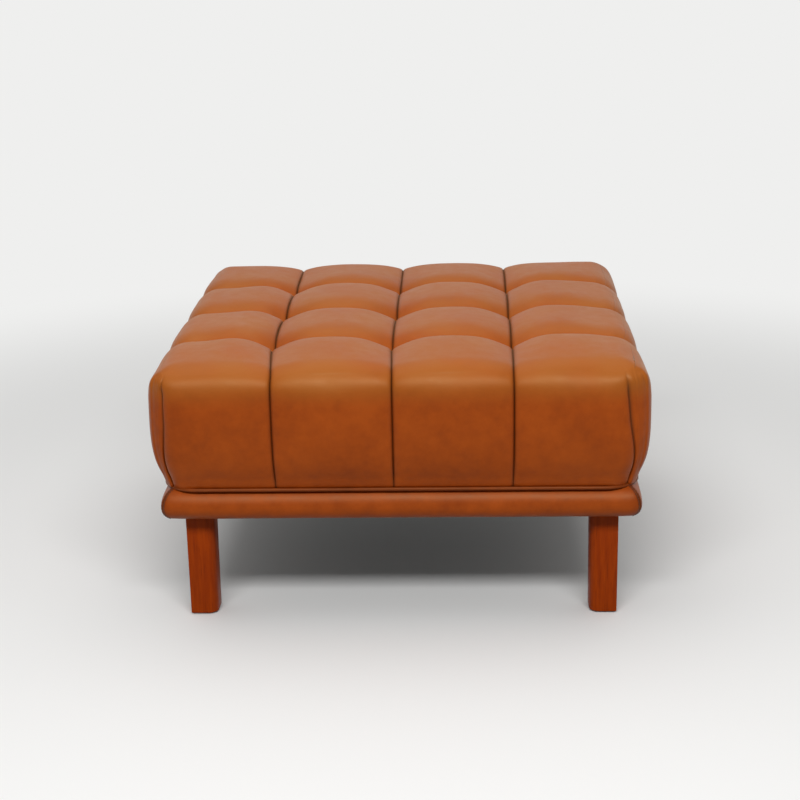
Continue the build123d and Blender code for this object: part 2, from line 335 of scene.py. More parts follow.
# the seam lines darken the hide: painted shade in the seam gaps, over the antique's darker tone there
seam_line = np.maximum(np.exp(-seam_gap / seam_shade), np.exp(-corner_gap / seam_shade) * corner_fade)
# paler tan on the top rows, most on the crests: partly wear of the raised hide, partly painted sheen for
# the top's grazing reflection
raised = 1 - smooth(raised_below, raised_above, by_seam + by_fold)
wear_and_sheen = (top_wear_and_sheen_share + raised_share * raised + ripple_share * ripple) * smooth(*wear_and_sheen_rows, height)
wear_and_sheen = np.clip(wear_and_sheen, 0, 1)


def take_form(piece):
    """Makes what a piece's modifiers give its own plain mesh."""
    bpy.context.view_layer.update()
    evaluated = piece.evaluated_get(bpy.context.evaluated_depsgraph_get())
    made = bpy.data.meshes.new_from_object(evaluated)
    piece.modifiers.clear()
    piece.data = made
    return made


def round_shaded(mesh):
    """Sets every face of a mesh to shade as one rounded form."""
    mesh.polygons.foreach_set("use_smooth", [True] * len(mesh.polygons))


def strip_piece(name, first_x, last_x):
    """One strip of the cover as a closed mesh, flat where it meets the board and its neighbours."""
    middle = corners[quads].mean(axis=1)[:, 0]
    own = quads[(middle > first_x) & (middle < last_x)]
    used, local = np.unique(own, return_inverse=True)
    mesh = new_mesh(name, cushion_points[used].tolist(), local.reshape(-1, 4).tolist())
    marks = {"seam_line": seam_line, "wear_and_sheen": wear_and_sheen, "across": corners[:, 0]}
    for label, values in marks.items():
        mark = mesh.attributes.new(label, "FLOAT", "POINT")
        mark.data.foreach_set("value", values[used].astype(np.float32))
    piece = new_piece(name, mesh)
    finer = piece.modifiers.new("finer", "SUBSURF")
    finer.levels = finer.render_levels = 1
    finer.boundary_smooth = "PRESERVE_CORNERS"
    fine = take_form(piece)
    close_strip(fine, [x for x in (first_x, last_x) if abs(x) < swell])
    fine.attributes.remove(fine.attributes["across"])
    round_shaded(fine)
    return piece


def close_strip(mesh, seam_places):
    """Flat faces over the foot and over each seam edge of a strip."""
    form = bmesh.new()
    form.from_mesh(mesh)
    across = form.verts.layers.float["across"]
    edges = [e for e in form.edges if e.is_boundary]
    loop = [edges[0].verts[0], edges[0].verts[1]]
    step = edges[0]
    while True:
        step = next(e for e in loop[-1].link_edges if e.is_boundary and e is not step)
        ahead = step.other_vert(loop[-1])
        if ahead is loop[0]:
            break
        loop.append(ahead)
    rings = [[v for v in loop if v.co.z < foot_level + hair]]
    rings += [[v for v in loop if abs(v[across] - x) < hair] for x in seam_places]
    for ring in rings:
        form.faces.new(ring)
    bmesh.ops.recalc_face_normals(form, faces=form.faces)
    form.to_mesh(mesh)
    form.free()


def linear(code):
    """An sRGB hex colour as linear red, green, blue and alpha."""
    channels = [int(code[i : i + 2], 16) / 255 for i in (1, 3, 5)]
    return tuple(c / 12.92 if c <= 0.04045 else ((c + 0.055) / 1.055) ** 2.4 for c in channels) + (1.0,)


def add(tree, kind, sockets=(), into=None, **settings):
    """A node with its settings, its sockets set or linked, and its own output linked into a socket."""
    made = tree.nodes.new(kind)
    for key, value in settings.items():
        setattr(made, key, value)
    for key, value in dict(sockets).items():
        if isinstance(value, bpy.types.NodeSocket):
            tree.links.new(value, made.inputs[key])
        else:
            made.inputs[key].default_value = value
    if into is not None:
        tree.links.new(next(output for output in made.outputs if output.enabled), into)
    return made


def blank_material(name, finish=()):
    """A new material with plain values for its shader, its tree, shader and place on the object."""
    material = bpy.data.materials.new(name)
    material.use_nodes = True
    tree = material.node_tree
    shader = tree.nodes["Principled BSDF"]
    for label, value in dict(finish).items():
        shader.inputs[label].default_value = value
    return material, tree, shader, add(tree, "ShaderNodeTexCoord").outputs["Object"]


def cowhide(name, light, middle, dark, seam_antique_and_shade_colour="#2A0D03", wear_and_sheen_colour="#A85C1E"):
    """Drum-dyed, hand-antiqued cowhide: cloudy colour, fine pebble grain, darker in the seams with the
    antique and painted shade, paler on the top with wear and painted sheen.
    """
    material, tree, shader, place = blank_material(name, {
        "IOR": 1.46, "Specular IOR Level": 0.46, "Specular Tint": linear("#FFE2B0"),
        "Sheen Weight": 0.10, "Sheen Roughness": 0.35, "Sheen Tint": linear("#F2C58E")})
    clouds = add(tree, "ShaderNodeTexNoise", {
        "Vector": place, "Scale": 9.0, "Detail": 4.0, "Roughness": 0.55}).outputs["Fac"]
    mottle = add(tree, "ShaderNodeTexNoise", {
        "Vector": place, "Scale": 45.0, "Detail": 5.0, "Roughness": 0.6}).outputs["Fac"]
    mixed = add(tree, "ShaderNodeMath", {0: clouds, 1: mottle}, operation="ADD").outputs[0]
    halved = add(tree, "ShaderNodeMath", {0: mixed, 1: 0.5}, operation="MULTIPLY").outputs[0]
    shade = add(tree, "ShaderNodeValToRGB", {"Fac": halved})
    ramp = shade.color_ramp
    ramp.elements[0].position, ramp.elements[0].color = 0.36, linear(dark)
    ramp.elements[1].position, ramp.elements[1].color = 0.64, linear(light)
    ramp.elements.new(0.5).color = linear(middle)
    # near-black in the seam lines: painted shade in the seam gap, with the antique's darker tone
    seam = add(tree, "ShaderNodeAttribute", attribute_name="seam_line").outputs["Fac"]
    seam_share = add(tree, "ShaderNodeMath", {0: seam, 1: 0.85}, operation="MULTIPLY", use_clamp=True)
    # mixed toward a paler tan by this mark: wear on the crests and painted sheen over the top
    wear_and_sheen = add(tree, "ShaderNodeAttribute", attribute_name="wear_and_sheen").outputs["Fac"]
    wear_and_sheen_mix = add(tree, "ShaderNodeMix", {
        "Factor": wear_and_sheen, "A": shade.outputs["Color"], "B": linear(wear_and_sheen_colour)}, data_type="RGBA")
    add(tree, "ShaderNodeMix", {
        "Factor": seam_share.outputs[0], "A": wear_and_sheen_mix.outputs["Result"], "B": linear(seam_antique_and_shade_colour)},
        shader.inputs["Base Color"], data_type="RGBA")
    # pebble grain about 1.6 mm across, drawn a little coarser than real so that it shows
    grain = add(tree, "ShaderNodeTexVoronoi", {
        "Vector": place, "Scale": 620.0, "Randomness": 1.0}, feature="F1").outputs["Distance"]
    crease = add(tree, "ShaderNodeTexNoise", {
        "Vector": place, "Scale": 160.0, "Detail": 6.0, "Roughness": 0.65}).outputs["Fac"]
    relief = add(tree, "ShaderNodeMath", {0: grain, 1: crease}, operation="ADD")
    add(tree, "ShaderNodeBump", {"Height": relief.outputs[0], "Strength": 0.12, "Distance": 0.0006},
        shader.inputs["Normal"])
    add(tree, "ShaderNodeMapRange", {
        "Value": mottle, "From Min": 0.3, "From Max": 0.7, "To Min": 0.40, "To Max": 0.50},
        shader.inputs["Roughness"])
    return material


def fitted(piece, finish=None, node=None):
    """Puts a piece on the ottoman's one body and in its plain solid's place."""
    if finish:
        piece.data.materials.append(finish)
    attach(piece, "root")
    if node:
        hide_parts(node)


cushion_hide = cowhide("antiqued_cowhide", "#AE4C0E", "#A4450A", "#973D08")
strip_edges = [-2 * swell, *seams, 2 * swell]
for name, first_x, last_x in zip(cushion_strips, strip_edges, strip_edges[1:]):
    piece = strip_piece(name.replace("cover", "hide"), first_x, last_x)
    fitted(piece, cushion_hide, name)

# Filling. A block of seat foam with its corners and top edges sawn off, in a wrap of carded
# polyester fibre. Nine flat cotton tapes hold the tufts down, through slots in a board of
# poplar plywood that the foam is glued to.
foam_ease, wrap_ease = 0.006, 0.003
shortest_cut, least_cut_angle = 0.03, math.radians(15)
past_slots = seams[2] + seam_pitch / 2
board_thickness, ply_count = 0.012, 7
weave_scale = 200.0


def two_tone(name, light, dark, pattern, finish):
    """A material whose colour drifts between two tones with a noise of the given pattern."""
    material, tree, shader, place = blank_material(name, finish)
    drift = add(tree, "ShaderNodeTexNoise", {"Vector": place, **pattern}).outputs["Fac"]
    add(tree, "ShaderNodeMix", {"Factor": drift, "A": linear(dark), "B": linear(light)},
        shader.inputs["Base Color"], data_type="RGBA")
    return material, tree, shader, place, drift


def wadding(name, light, dark):
    """Carded fibre or cut foam: matt, off-white, with a soft fuzzy or open-celled face."""
    material, tree, shader, place, fuzz = two_tone(
        name, light, dark, {"Scale": 350.0, "Detail": 5.0, "Roughness": 0.7}, {"Roughness": 0.95})
    add(tree, "ShaderNodeBump", {"Height": fuzz, "Strength": 0.5, "Distance": 0.001},
        shader.inputs["Normal"])
    return material


def filling_piece(node, name, ease):
    """A layer of the filling as it was cut, with its outer edges softened."""
    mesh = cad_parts[node].data.copy()
    form = bmesh.new()
    form.from_mesh(mesh)
    bmesh.ops.remove_doubles(form, verts=form.verts, dist=1e-6)
    bmesh.ops.dissolve_limit(form, angle_limit=math.radians(1), verts=form.verts, edges=form.edges)
    outer_edges = [e for e in form.edges if max(abs(c) for v in e.verts for c in v.co.xy) > past_slots]
    long_edges = [e for e in outer_edges if e.calc_length() > shortest_cut]
    cut_edges = [e for e in long_edges if e.calc_face_angle(0) > least_cut_angle]
    bmesh.ops.bevel(form, geom=cut_edges, offset=ease, segments=3, affect="EDGES", profile=0.5)
    form.to_mesh(mesh)
    form.free()
    mesh.materials.clear()
    return new_piece(name, mesh)


fibre_wadding = wadding("polyester_wadding", "#F4F3F0", "#DAD8D2")
wrap = filling_piece("fibre_wrap", "fibre_layer", wrap_ease)
fitted(wrap, fibre_wadding, "fibre_wrap")
foam = filling_piece("foam_core", "foam_block", foam_ease)
fitted(foam, wadding("cut_polyurethane_foam", "#F0E6C8", "#D9C89C"), "foam_core")


def woven_cotton(name, pale, shade):
    """Unbleached cotton tape in a plain weave: over and under rows across a soft, matt strip."""
    material, tree, shader, place = blank_material(name, {"Roughness": 0.9})
    # threads 0.8 mm apart, down the tape and across it
    rows = [
        add(tree, "ShaderNodeTexWave", {"Vector": place, "Scale": weave_scale}, bands_direction=way)
        for way in "YZ"]
    weave = add(tree, "ShaderNodeMath", {
        0: rows[0].outputs["Fac"], 1: rows[1].outputs["Fac"]}, operation="MULTIPLY").outputs[0]
    add(tree, "ShaderNodeMix", {"Factor": weave, "A": linear(shade), "B": linear(pale)},
        shader.inputs["Base Color"], data_type="RGBA")
    add(tree, "ShaderNodeBump", {"Height": weave, "Strength": 0.5, "Distance": 0.0003},
        shader.inputs["Normal"])
    return material


def poplar_plywood(name, light, dark, glue):
    """Rotary-cut poplar plywood: wandering pale grain on the face, thin glue lines on the edge."""
    material, tree, shader, place = blank_material(name, {"Roughness": 0.75})
    stretched = add(tree, "ShaderNodeMapping", {"Vector": place, "Scale": (0.5, 4.0, 30.0)})
    figure = add(tree, "ShaderNodeTexNoise", {
        "Vector": stretched.outputs["Vector"], "Scale": 9.0, "Detail": 5.0, "Roughness": 0.6,
        "Distortion": 1.2})
    grain = add(tree, "ShaderNodeMix", {
        "Factor": figure.outputs["Fac"], "A": linear(dark), "B": linear(light)}, data_type="RGBA")
    # a glue line between each two plies
    level = add(tree, "ShaderNodeSeparateXYZ", {"Vector": place})
    plies = add(tree, "ShaderNodeMath", {
        0: level.outputs["Z"], 1: board_thickness / ply_count}, operation="PINGPONG")
    line = add(tree, "ShaderNodeMapRange", {
        "Value": plies.outputs[0], "From Min": 0.0, "From Max": 0.00025, "To Min": 0.6, "To Max": 0.0})
    add(tree, "ShaderNodeMix", {
        "Factor": line.outputs["Result"], "A": grain.outputs["Result"], "B": linear(glue)},
        shader.inputs["Base Color"], data_type="RGBA")
    return material


tape_cotton = woven_cotton("woven_cotton_tape", "#EFE8D8", "#C9BDA2")
board_ply = poplar_plywood("poplar_plywood", "#DCC39A", "#C4A374", "#6E4E2C")
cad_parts["tuft_tapes"].material_slots[0].material = tape_cotton
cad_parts["top_board"].material_slots[0].material = board_ply

# Welt. A cord wrapped in a bias strip of the same hide, sewn along its lip, which is pinched
# between cushion and base. It goes round the corners in a small bend.
welt_low, welt_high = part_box("welt")
welt_radius = (welt_high.z - welt_low.z) / 2
welt_bend = 0.062
welt_sides, welt_spacing, bend_steps = 14, 0.006, 8
welt_slack, welt_lumps, lumps_per_m = 0.96, 0.05, 25


def rounded_square(half, bend, spacing):
    """Points and outward directions along a square with rounded corners, seen from above."""
    points, outward = [], []
    straight = half - bend
    for turn in range(4):
        spin = Matrix.Rotation(math.pi / 2 * turn, 2)
        for i in range(round(2 * straight / spacing)):
            points.append(spin @ Vector((-straight + i * spacing, -half)))
            outward.append(spin @ Vector((0, -1)))
        for i in range(bend_steps):
            angle = -math.pi / 2 + math.pi / 2 * i / bend_steps
            way = Vector((math.cos(angle), math.sin(angle)))
            points.append(spin @ (Vector((straight, -straight)) + way * bend))
            outward.append(spin @ way)
    return points, outward


def make_welt():
    """The round cord as one closed tube."""
    level = (welt_low.z + welt_high.z) / 2
    points, outward = rounded_square(welt_high.x - welt_radius, welt_bend, welt_spacing)
    verts, faces, count = [], [], len(points)
    for number, (point, way) in enumerate(zip(points, outward)):
        lump = noise.noise(Vector((point.x * lumps_per_m, point.y * lumps_per_m, 3.0)))
        radius = welt_radius * (welt_slack + welt_lumps * lump)
        here, ahead = number * welt_sides, (number + 1) % count * welt_sides
        for side in range(welt_sides):
            angle = 2 * math.pi * side / welt_sides
            out = math.cos(angle) * radius
            verts.append((point.x + way.x * out, point.y + way.y * out, level + math.sin(angle) * radius))
            beside = (side + 1) % welt_sides
            faces.append((here + side, ahead + side, ahead + beside, here + beside))
    mesh = new_mesh("welt_cord", verts, faces)
    round_shaded(mesh)
    mesh.attributes.new("seam_line", "FLOAT", "POINT")
    return new_piece("welt_cord", mesh)


# the cushion's hide with its tones drawn darker: painted shade under the overhanging cushion
shaded_welt_hide = cowhide("shaded_welt_cowhide", "#863909", "#7B3207", "#6E2B05")
fitted(make_welt(), shaded_welt_hide, "welt")

# Base band. Hide over a fibre roll, pulled round the rails and sewn in a mitre at each corner,
# with a row of topstitching beside each mitre.
band_names = ["front", "right", "back", "left"]
band_low, band_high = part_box("band_cover_front")
rail_face = -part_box("rail_front")[0].y
band_swell = -band_low.y - rail_face
band_bottom, band_top = band_low.z, band_high.z
band_top_out, band_foot_out = 0.007, 0.020
band_widest_level = band_bottom + 0.025
upper_bow, lower_bow = 0.005, 0.004
upper_steps, lower_steps = 9, 8
end_step_share, widest_step_share = 0.002, 0.011
hide_thickness = 0.0018
mitre_pulls = ((0.20, 0.018), (0.08, 0.0022))
mitre_shade = 0.004
wave_height, waved_beyond = 0.0007, 0.012
waves_along, waves_up_per_m, side_shift = 6, 20, 5.0


def bowed(start, end, bow, count):
    """Points on the arc from start to end that stands off its chord by the bow."""
    a, b = Vector(start), Vector(end)
    half = (b - a).length / 2
    radius = (half**2 + bow**2) / (2 * bow)
    along = (b - a).normalized()
    off = Vector((-along.y, along.x))
    middle = (a + b) / 2 - off * (radius - bow)
    reach = math.asin(half / radius)
    angles = [-reach + 2 * reach * i / count for i in range(count + 1)]
    return [middle + (along * math.sin(angle) + off * math.cos(angle)) * radius for angle in angles]


def band_outline(skin):
    """The bolster's section from the rail's top over the swell and under, drawn in by a skin."""
    top = (band_top_out - skin, band_top - skin)
    wide = (band_swell - skin, band_widest_level)
    foot = (band_foot_out - skin, band_bottom + skin)
    upper = bowed(top, wide, upper_bow, upper_steps)
    lower = bowed(wide, foot, lower_bow, lower_steps)
    return [(0.0, top[1])] + [tuple(p) for p in upper + lower[1:]] + [(0.0, foot[1])]


def quarter_turn(turn):
    """The turn about the upright axis that brings the front to one of the four sides."""
    return Matrix.Rotation(math.pi / 2 * turn, 4, "Z")


def on_band(along, out, level, turn):
    """The place on one side of the band at a share of its length, drawn in towards the mitres."""
    end_gap = (1 - abs(along)) * rail_face
    pull = sum(share * math.exp(-end_gap / reach) for share, reach in mitre_pulls)
    at = Vector((along * waves_along, level * waves_up_per_m, turn * side_shift))
    wave = noise.noise(at) * wave_height
    reach = max(0.0, out + wave * (out > waved_beyond)) * (1 - pull)
    return quarter_turn(turn) @ Vector((along * (rail_face + reach), -rail_face - reach, level))


def band_piece(name, turn, skin):
    """One side of the band, with its ends drawn in to the mitre seams."""
    outline = band_outline(skin)
    places = graded(-1.0, 1.0, end_step_share, widest_step_share)
    verts, faces, line = [], [], []
    for along in places:
        verts += [on_band(along, out, level, turn) for out, level in outline]
        # a dark line at each mitre seam: painted shade in the seam gap, as on the cushion
        line += [math.exp(-(1 - abs(along)) * rail_face / mitre_shade)] * len(outline)
    rows = len(outline)
    for i in range(len(places) - 1):
        for j in range(rows):
            a, b = i * rows + j, i * rows + (j + 1) % rows
            faces.append((a, b, b + rows, a + rows))
    faces.append(tuple(range(rows))[::-1])
    faces.append(tuple((len(places) - 1) * rows + j for j in range(rows)))
    mesh = new_mesh(name, [tuple(v) for v in verts], faces)
    mark = mesh.attributes.new("seam_line", "FLOAT", "POINT")
    mark.data.foreach_set("value", line)
    form = bmesh.new()
    form.from_mesh(mesh)
    bmesh.ops.recalc_face_normals(form, faces=form.faces)
    form.to_mesh(mesh)
    form.free()
    round_shaded(mesh)
    return new_piece(name, mesh)


band_hide = cowhide("band_cowhide", "#AC4A0D", "#A04309", "#923A07")
for turn, side in enumerate(band_names):
    cover = band_piece(f"band_hide_{side}", turn, 0)
    fitted(cover, band_hide, f"band_cover_{side}")
    roll = band_piece(f"band_roll_{side}", turn, hide_thickness)
    fitted(roll, fibre_wadding, f"band_padding_{side}")


def fastener_row_tree():
    """Geometry nodes that set U-shaped stitches or staples at an even pitch along a path of edges."""
    tree = bpy.data.node_groups.new("fastener_row", "GeometryNodeTree")
    sockets = [("Path", "Geometry"), ("Pitch", "Float"), ("Length", "Float"), ("Thickness", "Float"),
               ("Depth", "Float"), ("Sway", "Float"), ("Seed", "Int"), ("Finish", "Material")]
    for label, kind in sockets:
        tree.interface.new_socket(label, in_out="INPUT", socket_type=f"NodeSocket{kind}")
    tree.interface.new_socket("Fasteners", in_out="OUTPUT", socket_type="NodeSocketGeometry")
    given = add(tree, "NodeGroupInput").outputs
    shares = {"half": ("Length", 0.5), "other": ("Length", -0.5), "below": ("Depth", -1.0),
              "radius": ("Thickness", 0.5), "least": ("Sway", -1.0)}
    size = {
        key: add(tree, "ShaderNodeMath", {0: given[label], 1: share}, operation="MULTIPLY").outputs[0]
        for key, (label, share) in shares.items()}
    ends = [add(tree, "ShaderNodeCombineXYZ", {"X": size[key]}).outputs[0] for key in ("other", "half")]
    tips = [
        add(tree, "ShaderNodeCombineXYZ", {"X": size[key], "Z": size["below"]}).outputs[0]
        for key in ("other", "half")]
    wire = add(tree, "GeometryNodeJoinGeometry")
    for start, end in ((ends[0], ends[1]), (ends[0], tips[0]), (ends[1], tips[1])):
        add(tree, "GeometryNodeCurvePrimitiveLine", {"Start": start, "End": end}, wire.inputs["Geometry"])
    section = add(tree, "GeometryNodeCurvePrimitiveCircle", {"Resolution": 8, "Radius": size["radius"]})
    solid = add(tree, "GeometryNodeCurveToMesh", {
        "Curve": wire.outputs["Geometry"], "Profile Curve": section.outputs["Curve"], "Fill Caps": True})
    line = add(tree, "GeometryNodeMeshToCurve", {"Mesh": given["Path"]})
    spots = add(tree, "GeometryNodeCurveToPoints", {
        "Curve": line.outputs["Curve"], "Length": given["Pitch"]}, mode="LENGTH")
    facing = add(tree, "GeometryNodeInputNamedAttribute", {"Name": "facing"}, data_type="FLOAT_VECTOR")
    along = add(tree, "FunctionNodeAlignRotationToVector", {"Vector": spots.outputs["Tangent"]}, axis="X")
    seated = add(tree, "FunctionNodeAlignRotationToVector", {
        "Rotation": along.outputs["Rotation"], "Vector": facing.outputs["Attribute"]},
        axis="Z", pivot_axis="X")
    sway = add(tree, "FunctionNodeRandomValue", {
        2: size["least"], 3: given["Sway"], "Seed": given["Seed"]}, data_type="FLOAT")
    twist = add(tree, "ShaderNodeCombineXYZ", {"Z": sway.outputs[1]})
    turned = add(tree, "FunctionNodeEulerToRotation", {"Euler": twist.outputs[0]})
    placed = add(tree, "FunctionNodeRotateRotation", {
        "Rotation": seated.outputs["Rotation"], "Rotate By": turned.outputs["Rotation"]},
        rotation_space="LOCAL")
    row = add(tree, "GeometryNodeInstanceOnPoints", {
        "Points": spots.outputs["Points"], "Instance": solid.outputs["Mesh"],
        "Rotation": placed.outputs["Rotation"]})
    real = add(tree, "GeometryNodeRealizeInstances", {"Geometry": row.outputs["Instances"]})
    add(tree, "GeometryNodeSetMaterial", {
        "Geometry": real.outputs["Geometry"], "Material": given["Finish"]},
        add(tree, "NodeGroupOutput").inputs["Fasteners"])
    return tree


def fastener_row(name, paths, sizes):
    """A piece of like fasteners along paths, each a list of points with the way that they face."""
    verts = [tuple(point) for path in paths for point, facing in path]
    edges, first = [], 0
    for path in paths:
        edges += [(first + i, first + i + 1) for i in range(len(path) - 1)]
        first += len(path)
    mesh = new_mesh(name, verts, [], edges)
    way = mesh.attributes.new("facing", "FLOAT_VECTOR", "POINT")
    way.data.foreach_set("vector", [c for path in paths for point, facing in path for c in facing])
    piece = new_piece(name, mesh)
    modifier = piece.modifiers.new("fasteners", "NODES")
    modifier.node_group = fastener_nodes
    for socket in fastener_nodes.interface.items_tree:
        if socket.in_out == "INPUT" and socket.name in sizes:
            modifier[socket.identifier] = sizes[socket.name]
    round_shaded(take_form(piece))
    return piece


def bonded_thread(name, light, dark):
    """Bonded polyester sewing thread: dark brown, twisted, with a slight sheen."""
    return two_tone(name, light, dark, {"Scale": 900.0, "Detail": 3.0}, {"Roughness": 0.55})[0]


fastener_nodes = fastener_row_tree()
stitch_length, stitch_pitch, thread_thickness, stitch_sink = 0.0042, 0.0056, 0.0008, 0.0012
stitch_from_mitre = 0.0045
thread_lift_share = 0.2
stitch_paths = []
for turn in range(4):
    sideways, outward = (quarter_turn(turn) @ Vector(way) for way in ((1, 0, 0), (0, -1, 0)))
    for end in (-1, 1):
        along = end * (1 - stitch_from_mitre / rail_face)
        places = [on_band(along, out, level, turn) for out, level in band_outline(0)[1:-1]]
        path = []
        for i, place in enumerate(places):
            way = places[min(i + 1, len(places) - 1)] - places[max(i - 1, 0)]
            facing = way.cross(sideways).normalized()
            if facing.dot(outward) < 0:
                facing = -facing
            path.append((place + facing * thread_thickness * thread_lift_share, facing))
        stitch_paths.append(path)
stitches = fastener_row("mitre_topstitching", stitch_paths, {
    "Pitch": stitch_pitch, "Length": stitch_length, "Thickness": thread_thickness, "Depth": stitch_sink,
    "Sway": 0.06, "Seed": 3, "Finish": bonded_thread("bonded_thread", "#4A200C", "#2A1006")})
fitted(stitches)

# Base frame. Sawn pine rails, housed and glued, with a block in each corner for the leg's bolt.
# All of it is covered, so the timber is left as it came from the saw.


def sawn_pine(name, along, light, dark):
    """Planed and sawn pine, pale with orange latewood lines that run along the piece."""
    material, tree, shader, place = blank_material(name, {"Roughness": 0.7})
    squeeze = tuple(0.06 if axis == along else 1.0 for axis in "XYZ")
    stretched = add(tree, "ShaderNodeMapping", {"Vector": place, "Scale": squeeze})
    rings = add(tree, "ShaderNodeTexNoise", {
        "Vector": stretched.outputs["Vector"], "Scale": 70.0, "Detail": 4.0, "Roughness": 0.55,
        "Distortion": 0.6}).outputs["Fac"]
    shade = add(tree, "ShaderNodeValToRGB", {"Fac": rings}, shader.inputs["Base Color"])
    shade.color_ramp.elements[0].position, shade.color_ramp.elements[0].color = 0.40, linear(dark)
    shade.color_ramp.elements[1].position, shade.color_ramp.elements[1].color = 0.58, linear(light)
    add(tree, "ShaderNodeBump", {"Height": rings, "Strength": 0.2, "Distance": 0.0004},
        shader.inputs["Normal"])
    return material


pine_across = sawn_pine("sawn_pine_across", "X", "#E2C48E", "#C48F4E")
pine_deep = sawn_pine("sawn_pine_deep", "Y", "#DFC089", "#C08A4A")
pine_upright = sawn_pine("sawn_pine_upright", "Z", "#DDBD86", "#BC8646")
for name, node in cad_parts.items():
    if name in ("rail_front", "rail_back"):
        node.material_slots[0].material = pine_across
    elif name.startswith(("rail_", "cross_rail_")):
        node.material_slots[0].material = pine_deep
    elif name.startswith("corner_block_"):
        node.material_slots[0].material = pine_upright

# Dust cover. Black spunbonded cambric over the underside, its edge turned in and stapled to the
# rails through the band leather. It sags a little between the rails and puckers at the staples.
cover_low, cover_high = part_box("dust_cover")
cover_half = cover_high.x
leg_low, leg_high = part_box("leg_back_right")
bolt_gap = 0.0052
cambric_thickness = 0.0005
cambric_sag, sag_from_edge, sag_from_leg = 0.006, 0.30, 0.12
cambric_wave, waves_per_m, wave_from_edge, wave_from_leg = 0.0012, 9, (0.02, 0.15), 0.08
pucker_height, pucker_reach = 0.0007, 0.02
hem_width, hem_fold, hem_height = 0.016, 0.001, 0.0004
flat_by_leg = 0.01
by_hem_step, widest_hem_step = 0.002, 0.006
by_bolt_step, widest_middle_step = 0.003, 0.010
staple_pitch = 0.038
staple_length, staple_wire, staple_leg = 0.0105, 0.0009, 0.008
staple_inset, staple_proud = 0.008, 0.0008


def make_dust_cover():
    """The cloth as a thin closed sheet with a square opening round each leg's bolt."""
    leg_middle = (leg_low.x + leg_high.x) / 2
    cuts = [-leg_middle - bolt_gap, -leg_middle + bolt_gap, leg_middle - bolt_gap, leg_middle + bolt_gap]
    places = joined([
        graded(-cover_half, cuts[0], by_hem_step, widest_hem_step), cuts[:2],
        graded(cuts[1], cuts[2], by_bolt_step, widest_middle_step), cuts[2:],
        graded(cuts[3], cover_half, by_hem_step, widest_hem_step)])
    x, y = (grid.ravel() for grid in np.meshgrid(places, places, indexing="ij"))
    edge_gap = cover_half - np.maximum(np.abs(x), np.abs(y))
    along = np.where(np.abs(x) > np.abs(y), y, x)
    leg_gap = np.hypot(np.clip(leg_low.x - np.abs(x), 0, None), np.clip(leg_low.y - np.abs(y), 0, None))
    sag = cambric_sag * smooth(0, sag_from_edge, edge_gap) * smooth(0, sag_from_leg, leg_gap)
    by_staples = np.exp(-((edge_gap - staple_inset) / pucker_reach) ** 2)
    pucker = pucker_height * np.abs(np.sin(math.pi * along / staple_pitch)) * by_staples
    wave = np.array([noise.noise(Vector((a * waves_per_m, b * waves_per_m, 2.0))) for a, b in zip(x, y)])
    wave *= cambric_wave * smooth(*wave_from_edge, edge_gap) * smooth(0, wave_from_leg, leg_gap)
    hem = hem_height * (1 - smooth(hem_width - hem_fold, hem_width + hem_fold, edge_gap))
    proud = (pucker + hem) * smooth(0, flat_by_leg, leg_gap)
    level = cover_low.z + cambric_thickness - sag - wave - proud
    count = len(places)
    rows = np.arange(count - 1)
    i, j = (grid.ravel() for grid in np.meshgrid(rows, rows, indexing="ij"))
    middle = (places[:-1] + places[1:]) / 2
    in_cut = np.abs(np.abs(middle) - leg_middle) < bolt_gap
    kept = ~(in_cut[i] & in_cut[j])
    first, beyond = i * count + j, (i + 1) * count + j
    faces = np.stack([first, beyond, beyond + 1, first + 1], axis=1)[kept]
    points = np.stack([x, y, level], axis=1)
    piece = new_piece("cambric_cover", new_mesh("cambric_cover", points.tolist(), faces.tolist()))
    wall = piece.modifiers.new("wall", "SOLIDIFY")
    wall.thickness, wall.offset = cambric_thickness, 1
    thick = take_form(piece)
    round_shaded(thick)
    thick.set_sharp_from_angle(angle=math.radians(40))
    return piece


def spunbonded_cloth(name, light, dark):
    """Spunbonded polypropylene: near black, matt, with a grid of small pressed bonding dots."""
    material, tree, shader, place, fibres = two_tone(
        name, light, dark, {"Scale": 260.0, "Detail": 6.0, "Roughness": 0.7}, {"Roughness": 0.8})
    # the real dots are 1 mm apart, drawn at 2.5 mm so that they show
    dots = add(tree, "ShaderNodeTexVoronoi", {"Vector": place, "Scale": 400.0, "Randomness": 0.15})
    relief = add(tree, "ShaderNodeMath", {0: dots.outputs["Distance"], 1: fibres}, operation="ADD")
    add(tree, "ShaderNodeBump", {"Height": relief.outputs[0], "Strength": 0.4, "Distance": 0.0004},
        shader.inputs["Normal"])
    return material


def zinc_plate(name, light, dark):
    """Bright zinc on rolled steel: cool silver, a little cloudy, with a low scattered gloss."""
    material, tree, shader, place, cloud = two_tone(
        name, light, dark, {"Scale": 300.0, "Detail": 4.0}, {"Metallic": 1.0})
    add(tree, "ShaderNodeMapRange", {"Value": cloud, "To Min": 0.25, "To Max": 0.42},
        shader.inputs["Roughness"])
    return material


cambric = make_dust_cover()
fitted(cambric, spunbonded_cloth("black_cambric", "#1B1B1C", "#101011"), "dust_cover")
zinc = zinc_plate("zinc_plated_steel", "#C8CCD1", "#A9AEB5")
ring = cover_half - staple_inset
ring_level = cover_low.z - staple_proud
clear = ring - staple_length
ring_paths = []
for turn in range(4):
    ends = [quarter_turn(turn) @ Vector((a, -ring, ring_level)) for a in (-clear, clear)]
    ring_paths.append([(end, Vector((0, 0, -1))) for end in ends])
staples = fastener_row("cover_staples", ring_paths, {
    "Pitch": staple_pitch, "Length": staple_length, "Thickness": staple_wire, "Depth": staple_leg,
    "Sway": 0.15, "Seed": 11, "Finish": zinc})
fitted(staples)

